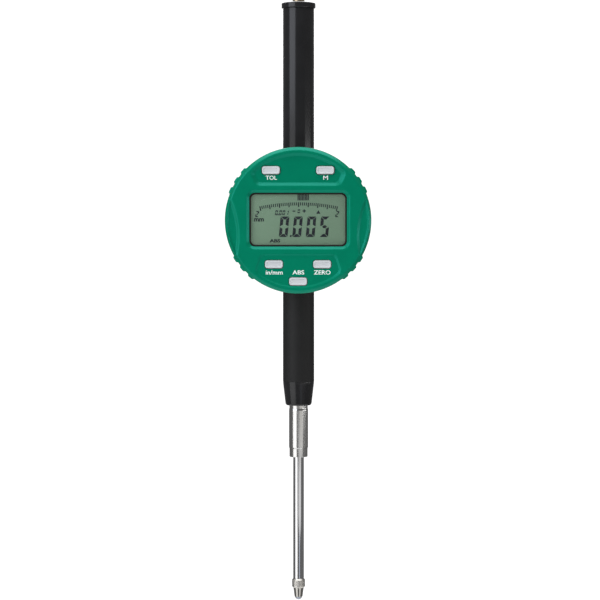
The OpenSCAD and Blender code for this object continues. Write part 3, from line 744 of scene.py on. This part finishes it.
def display_content():
    """What the display shows: reading, small preset value, limit marks and a curved scale."""
    y = LCD_Y
    main = []
    for i, char in enumerate("0005"):
        main += digit(char, -7.95 + 5.53 * i, -6.85, 3.6, 8.4, 1.24, SLANT)
    main.append([(-3.4, -6.85), (-2.7, -6.85), (-2.62, -6.1), (-3.32, -6.1)])
    joined("reading_digits", [prism(o, y) for o in main], "lcd_glass", "display", INK)
    small = []
    for i, char in enumerate("0001"):
        small += digit(char, -9.6 + 1.4 * i + (0.2 if i else 0), 2.05, 1.08, 2.05, 0.42, 0.2)
    small.append([(-8.45, 2.05), (-8.03, 2.05), (-7.98, 2.45), (-8.4, 2.45)])
    small += digit("0", -0.3, 2.9, 1.05, 1.6, 0.42, 0.1)
    small.append([(-2.3, 3.5), (-1.1, 3.5), (-1.1, 3.95), (-2.3, 3.95)])
    arm, half = 0.68, 0.25
    small.append([(2.5 + x, 3.8 + z) for x, z in (
        (-arm, -half), (-half, -half), (-half, -arm), (half, -arm), (half, -half), (arm, -half), (arm, half),
        (half, half), (half, arm), (-half, arm), (-half, half), (-arm, half))])
    small.append([(7.4, 2.65), (9.15, 2.65), (8.28, 4.2)])
    small += digit("2", -17.65, 1.25, 1.45, 2.55, 0.52, 0.12)
    small += digit("2", 15.15, 1.25, 1.45, 2.55, 0.52, 0.12)
    joined("small_marks", [prism(o, y) for o in small], "lcd_glass", "display", INK)
    ticks = []
    arc_r, arc_top = 78.0, 7.35
    for k in range(-20, 21):
        a = k * (4.0 / 5) / arc_r
        length = 1.9 if k % 5 == 0 else 1.3
        half = 0.23 if k % 5 == 0 else 0.2
        out = Vector((math.sin(a), math.cos(a)))
        side = Vector((math.cos(a), -math.sin(a)))
        centre = Vector((0.2, arc_top - arc_r))
        top, foot = centre + out * arc_r, centre + out * (arc_r - length)
        ticks.append([tuple(top + side * half), tuple(top - side * half), tuple(foot - side * half),
                      tuple(foot + side * half)])
    for k in range(8):
        left = -0.25 + 0.6 * k
        ticks.append([(left, 8.1), (left + 0.44, 8.1), (left + 0.44, 10.8), (left, 10.8)])
    joined("scale_ticks", [prism(o, y) for o in ticks], "lcd_glass", "display", INK)


def caption(name, words, centre, width, height, y, material, bold=0.035):
    """Plain sans letters, scaled to a width and cap height, as thin solid plates."""
    text = bpy.data.curves.new(name, "FONT")
    text.body = words
    text.size = 1.0
    text.offset = bold
    text.extrude = 0.05
    text.resolution_u = 6
    holder = bpy.data.objects.new(name + "_text", text)
    bpy.context.scene.collection.objects.link(holder)
    bpy.context.view_layer.update()
    mesh = bpy.data.meshes.new_from_object(holder.evaluated_get(bpy.context.evaluated_depsgraph_get()))
    bpy.data.objects.remove(holder)
    co = np.array([v.co for v in mesh.vertices])
    low, high = co.min(0), co.max(0)
    co -= (low + high) / 2
    co *= [width / (high[0] - low[0]), height / (high[1] - low[1]), 0.04 / (high[2] - low[2])]
    for vertex, (a, b, c) in zip(mesh.vertices, co):
        vertex.co = Vector((centre[0] + a, y - c, DIAL_Z + centre[1] + b)) * MM
    work = bmesh.new()
    work.from_mesh(mesh)
    bmesh.ops.remove_doubles(work, verts=work.verts, dist=1e-7)
    bmesh.ops.recalc_face_normals(work, faces=work.faces)
    work.to_mesh(mesh)
    work.free()
    mesh.materials.clear()
    mesh.materials.append(material)
    thing = bpy.data.objects.new(name, mesh)
    bpy.context.scene.collection.objects.link(thing)
    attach(thing, "display")
    return thing


def captions():
    """Key names on the panels, and two words of the display, each with its centre and size."""
    upper = FACE_Y + UPPER_DEPTH
    lower = FACE_Y + LOWER_DEPTH
    for name, words, centre, width, height, y in (
            ("caption_tol", "TOL", (-10.95, 17.4), 4.6, 1.68, upper),
            ("caption_m", "M", (11.25, 17.4), 1.95, 1.66, upper),
            ("caption_unit", "in/mm", (-9.75, -21.3), 6.9, 1.75, lower),
            ("caption_abs", "ABS", (0.1, -21.3), 4.8, 1.7, lower),
            ("caption_zero", "ZERO", (9.85, -21.3), 6.8, 1.7, lower)):
        caption(name, words, centre, width, height, y, PRINT, bold=0.014)
    caption("lcd_unit", "mm", (-16.0, 0.15), 4.0, 1.4, LCD_Y - 0.02, INK, bold=0.04)
    caption("lcd_mode", "ABS", (-9.5, -8.4), 4.4, 1.45, LCD_Y - 0.02, INK, bold=0.04)


# ---------------------------------------------------------------- turned pieces on the spindle axis
TUBE_WALL = 1.05
SPIGOT_R = 5.45                  # of the cap and the nose, inside the tubes
CAP_DOME = 1.1                   # height of the end cap's dome
PLUG_DEPTH = 1.1                 # how deep the plug's seat is
NOSE_LENGTH = 10.0               # of the nose outside the barrel
NOSE_BORE_R = 3.86
ROD_BORE_R = 2.6
STEM_BORE_R = 3.0
STEM_FOOT, STEM_LAND = 4.0, 15.6     # the relieved foot, and the clamping land above it
FOOT_RELIEF, TOP_RELIEF = 0.2, 0.15  # in radius
STUB_R, STUB_LENGTH = 1.7, 10.0      # the spindle's thin inner end
STUD_R, STUD_DEPTH = 1.25, 6.0       # the spindle's hole for the contact point
MOUTH_R = 1.47                       # where the contact point holds its ball
KNURL_TEETH, KNURL_TWIST, KNURL_CUT = 26, 12, 0.03


def turned_pieces():
    low, high = box_mm("upper_tube")
    r = (high[0] - low[0]) / 2
    turned_piece("upper_tube_body", [(r, low[2], 0.1), (r, high[2], 0.15), (r - TUBE_WALL, high[2], 0.1),
                                     (r - TUBE_WALL, low[2], 0.1)], "black_anodised", "frame", "upper_tube")
    low, high = box_mm("lower_barrel")
    r = (high[0] - low[0]) / 2
    turned_piece("lower_barrel_body", [(r, low[2], 0.12), (r, high[2], 0.1), (r - TUBE_WALL, high[2], 0.1),
                                       (r - TUBE_WALL, low[2], 0.1)], "black_anodised", "frame",
                 "lower_barrel", material=MATTE_BLACK)
    low, high = box_mm("end_cap")
    r, top = (high[0] - low[0]) / 2, high[2]
    rim = box_mm("upper_tube")[1][2] + 0.02
    dome_r = (r ** 2 + CAP_DOME ** 2) / (2 * CAP_DOME)
    dome = [(r - 0.22, rim, 0.06), (r, rim + 0.25, 0.1), (r, top - 1.18, 0.12)]
    dome += [(d, top - 0.04 - d * d / 2 / dome_r, 0.1) for d in (6.6, 5.4, 4.2, 3.2)]
    plug_r = (box_mm("cap_plug")[1][0] - box_mm("cap_plug")[0][0]) / 2 + 0.05
    dome += [(plug_r, top - 0.05, 0.08), (plug_r, top - PLUG_DEPTH, 0.05), (0, top - PLUG_DEPTH, 0)]
    turned_piece("end_cap_body", [(0, low[2], 0), (SPIGOT_R, low[2], 0.2), (SPIGOT_R, rim, 0.05)] + dome,
                 "black_anodised", "frame", "end_cap", closed=False)
    low, high = box_mm("cap_plug")
    r = (high[0] - low[0]) / 2
    turned_piece("cap_plug_body", [(0, low[2], 0), (r, low[2], 0.15), (r, high[2], 0.35), (0.9, high[2], 0.1),
                                   (0.7, high[2] - 0.3, 0.1), (0, high[2] - 0.3, 0)],
                 "plug_metal", "frame", "cap_plug", closed=False)
    low, high = box_mm("nose_collar")
    r, foot = (high[0] - low[0]) / 2, low[2]
    seat = foot + NOSE_LENGTH
    turned_piece("nose_collar_body", [(NOSE_BORE_R, foot, 0.1), (5.0, foot, 0.25), (5.48, foot + 0.6, 0.5),
                                      (r - 0.02, foot + 9.1, 1.2), (r, seat, 0.05), (SPIGOT_R, seat, 0.05),
                                      (SPIGOT_R, high[2], 0.15), (ROD_BORE_R, high[2], 0.1),
                                      (ROD_BORE_R, foot + 11.1, 0.1), (NOSE_BORE_R, foot + 11.1, 0.1)],
                 "black_anodised", "frame", "nose_collar")
    low, high = box_mm("stem")
    r, foot = (high[0] - low[0]) / 2, low[2]
    land, top = foot + STEM_FOOT, foot + STEM_FOOT + STEM_LAND
    turned_piece("stem_body", [(STEM_BORE_R, foot, 0.15), (r - FOOT_RELIEF, foot, 0.25),
                               (r - FOOT_RELIEF, land - 0.5, 0.6), (r, land, 0.6), (r, top, 0.8),
                               (r - TOP_RELIEF, top + 0.8, 0.8), (r - TOP_RELIEF, high[2], 0.1),
                               (STEM_BORE_R, high[2], 0.1)], "satin_steel", "frame", "stem")
    low, high = box_mm("spindle")
    r, foot = (high[0] - low[0]) / 2, low[2]
    shoulder, hole_top = high[2] - STUB_LENGTH, foot + STUD_DEPTH
    turned_piece("spindle_rod", [(STUD_R, foot, 0.08), (r, foot, 0.2), (r, shoulder, 0.15),
                                 (STUB_R, shoulder, 0.05), (STUB_R, high[2], 0.2), (0, high[2], 0),
                                 (0, hole_top, 0), (STUD_R, hole_top, 0.1)],
                 "polished_steel", "spindle", "spindle")
    contact_point()


def contact_point():
    """The screw-in point: threaded stud, knurled collar, cone with a rolled lip, and the hardened ball."""
    low, high = box_mm("contact_point")
    ball_low, ball_high = box_mm("contact_ball")
    full = (high[0] - low[0]) / 2
    end = low[2]
    top = high[2] - KNURL_TOP
    bottom = top - KNURL_LENGTH
    ball_r = (ball_high[0] - ball_low[0]) / 2
    ball_z = (ball_low[2] + ball_high[2]) / 2

    def knurl(angle, radius, height):
        if radius < full - 0.12 or not bottom + 0.5 < height < top - 0.5:
            return 0.0
        twist = KNURL_TWIST * (top - height)
        across = math.sin(KNURL_TEETH * angle + twist) * math.sin(KNURL_TEETH * angle - twist)
        return -KNURL_CUT - KNURL_CUT * across

    profile = rounded([(0, high[2], 0), (1.2, high[2], 0.2), (1.2, top + 0.05, 0.02), (1.3, top, 0.02),
                       (full - 0.5, top, 0.08), (full, top - 0.5, 0.1)], False)
    band = 14
    profile += [(full, top - 0.55 - 2.7 * k / band) for k in range(1, band)]
    profile += rounded([(full, bottom + 0.5, 0), (full - 0.5, bottom, 0.15), (2.18, bottom, 0.05),
                        (1.9, bottom - 1.9, 0.3), (1.66, end + 0.05, 0.1), (1.6, end, 0.05),
                        (MOUTH_R, end, 0)], False)
    lip = math.asin(MOUTH_R / ball_r)
    profile += [(ball_r * math.sin(lip * (1 - k / 8)), ball_z + ball_r * math.cos(lip * (1 - k / 8)))
                for k in range(9)]
    verts, faces = turned([tuple(p) for p in profile], steps=312, closed=False, wobble=knurl)
    piece("contact_point_body", verts, faces, "point_steel", "spindle", "contact_point", sharp=40)
    arc = [(ball_r * math.sin(math.pi * k / 48), ball_z - ball_r * math.cos(math.pi * k / 48))
           for k in range(49)]
    verts, faces = turned([(0.0, arc[0][1])] + arc[1:-1] + [(0.0, arc[-1][1])], steps=96, closed=False)
    piece("contact_ball_body", verts, faces, "polished_steel", "spindle", "contact_ball", BALL_STEEL)


def return_spring():
    """The return spring between the scale carrier and the cap, drawn as a fixed coil; in the real tool it is
    squashed as the spindle goes in.
    """
    low, high = box_mm("return_spring")
    wire = 0.3
    coil = (high[0] - low[0]) / 2 - wire
    foot, head = low[2] + wire, high[2] - wire
    turns, per_turn, sides = 17, 24, 8
    loops = []
    for i in range(turns * per_turn + 1):
        angle, z = 2 * math.pi * i / per_turn, foot + (head - foot) * i / (turns * per_turn)
        out = (math.cos(angle), math.sin(angle))
        loops.append([])
        for k in range(sides):
            turn = 2 * math.pi * k / sides
            r = coil + wire * math.cos(turn)
            loops[-1].append((r * out[0], r * out[1], z + wire * math.sin(turn)))
    verts, faces = stacked(loops)
    spring = piece("return_spring_wire", verts, faces, "spring_steel", "frame", "return_spring", sharp=70)
    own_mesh(spring)


# ---------------------------------------------------------------- CAD nodes that stay
SOFT_EDGES = {"rear_housing": 0.3, "back_cover": 0.35, "display_back": 0.2, "battery_tray": 0.15}


def finish_cad_nodes():
    """Procedural finish and softened edges on every CAD node that is still shown."""
    slots = {row["node"]: row["material_slot"] for row in frame["record"]["subparts"]}
    for name, thing in frame["nodes"].items():
        thing.material_slots[0].material = MATERIALS[slots[name]]
        weld = thing.modifiers.new("weld", "WELD")
        weld.merge_threshold = 1e-6
        if name in SOFT_EDGES:
            soften = thing.modifiers.new("soft_edges", "BEVEL")
            soften.width = SOFT_EDGES[name] * MM
            soften.segments = 2
            soften.limit_method = "ANGLE"
            soften.angle_limit = math.radians(40)
            soften.harden_normals = True


# ---------------------------------------------------------------- floor, light and camera
FLOOR_R, FLOOR_DROP, FLOOR_GLOW = 0.4, 0.30, 0.15                # metres below the part's lowest point
WORLD_SEEN, WORLD_GLOSSY, WORLD_DIFFUSE = 1.15, 0.15, 0.40
AIM_DROP = 0.03                  # metres from the dial's centre down to the point the lamps face
WHITE = (1, 1, 1)
# name, azimuth, elevation, distance, width, height, radiance, colour; each panel serves one height range
LAMPS = (
    ("key_low", 47, -10, 0.95, 0.78, 0.50, 1.5, WHITE),
    ("key_high", 47, 23, 0.95, 0.78, 0.56, 2.6, (0.93, 0.97, 1.06)),
    ("key_foot", 45, -37, 0.95, 0.60, 0.36, 1.0, WHITE),
    ("side", -75, -0.5, 1.0, 0.9, 0.10, 5.0, WHITE),
    ("fill_upper", -33, -6, 1.0, 0.80, 0.18, 0.56, (1.0, 0.98, 0.94)),
    ("fill_centre", 6, -6, 1.0, 0.40, 0.18, 0.20, WHITE),
    ("fill_middle", -26, -15, 1.0, 1.05, 0.13, 0.66, WHITE),
    ("fill_lower", -20, -21.5, 1.0, 0.26, 0.10, 0.5, (0.85, 0.95, 1.15)),
    ("fill_foot", -36, -37, 0.95, 0.50, 0.36, 0.75, WHITE),
    ("top", 10, 82, 1.0, 1.3, 0.8, 3.2, WHITE),
    ("back", 180, 22, 1.0, 0.42, 1.0, 2.6, WHITE))


def soft_panel(name, azimuth, elevation, distance, width, height, radiance, colour):
    """A rectangular lamp facing the dial; azimuth is measured to the left of the front, in degrees."""
    turn, lift = math.radians(azimuth), math.radians(elevation)
    middle = Vector((0, 0, DIAL_Z * MM - AIM_DROP))
    out = Vector((-math.sin(turn) * math.cos(lift), -math.cos(turn) * math.cos(lift), math.sin(lift)))
    lamp = bpy.data.lights.new(name, "AREA")
    lamp.shape = "RECTANGLE"
    lamp.size, lamp.size_y = width, height
    lamp.energy = radiance * math.pi * width * height
    lamp.color = colour
    holder = bpy.data.objects.new(name, lamp)
    holder.location = middle + out * distance
    holder.rotation_euler = (-out).to_track_quat("-Z", "Y").to_euler()
    bpy.context.scene.collection.objects.link(holder)


def studio():
    """A pale floor, a surround that is white to the camera and dim to everything else, and soft lamps."""
    low = cad_bounds[0]
    floor_mesh = bpy.data.meshes.new("floor")
    height = low[2] - FLOOR_DROP
    corners = [(FLOOR_R * math.cos(math.radians(a)), FLOOR_R * math.sin(math.radians(a)), height)
               for a in range(0, 360, 6)]
    floor_mesh.from_pydata(corners, [], [list(range(len(corners)))])
    floor = bpy.data.objects.new("floor", floor_mesh)
    bpy.context.scene.collection.objects.link(floor)
    pale = surface("pale_floor", (0.8, 0.8, 0.8), 0.7, grain=200, bump=0.0, vary=0.01, mottle=3)
    shader = pale.node_tree.nodes["Principled BSDF"]
    shader.inputs["Emission Color"].default_value = (1, 1, 1, 1)
    shader.inputs["Emission Strength"].default_value = FLOOR_GLOW
    floor_mesh.materials.append(pale)

    world = bpy.data.worlds.new("studio")
    bpy.context.scene.world = world
    world.use_nodes = True
    tree = world.node_tree
    ray = add(tree, "ShaderNodeLightPath")
    glossy = add(tree, "ShaderNodeBackground", Strength=WORLD_GLOSSY)
    diffuse = tree.nodes["Background"]
    diffuse.inputs["Color"].default_value = (1, 1, 1, 1)
    diffuse.inputs["Strength"].default_value = WORLD_DIFFUSE
    seen = add(tree, "ShaderNodeBackground", Strength=WORLD_SEEN)
    for shade in (glossy, seen):
        shade.inputs["Color"].default_value = (1, 1, 1, 1)
    unseen = add(tree, "ShaderNodeMixShader")
    tree.links.new(ray.outputs["Is Glossy Ray"], unseen.inputs["Fac"])
    tree.links.new(diffuse.outputs["Background"], unseen.inputs[1])
    tree.links.new(glossy.outputs["Background"], unseen.inputs[2])
    mix = add(tree, "ShaderNodeMixShader")
    tree.links.new(ray.outputs["Is Camera Ray"], mix.inputs["Fac"])
    tree.links.new(unseen.outputs["Shader"], mix.inputs[1])
    tree.links.new(seen.outputs["Background"], mix.inputs[2])
    tree.links.new(mix.outputs["Shader"], tree.nodes["World Output"].inputs["Surface"])

    for lamp in LAMPS:
        soft_panel(*lamp)


def camera():
    """Square-on front view from dial height, with the framing moved by a lens shift."""
    distance, aside = 0.80, 0.007        # in metres; aside is to the right
    seen_width = 0.2523                  # metres across the picture, at the spindle axis
    data = bpy.data.cameras.new("camera")
    data.sensor_width = 36.0
    data.lens = data.sensor_width * distance / seen_width
    data.shift_x = 0.0024 - aside / seen_width
    data.shift_y = -0.1329
    data.clip_end = 50.0
    holder = bpy.data.objects.new("camera", data)
    holder.location = (aside, -distance, DIAL_Z * MM)
    holder.rotation_euler = (math.pi / 2, 0, 0)
    bpy.context.scene.collection.objects.link(holder)
    bpy.context.scene.camera = holder
    bpy.context.scene.view_settings.view_transform = "Standard"


camera()
studio()
front_shell()
for key_node in KEYS:
    key_piece(key_node)
window_pieces()
display_content()
captions()
turned_pieces()
return_spring()
finish_cad_nodes()
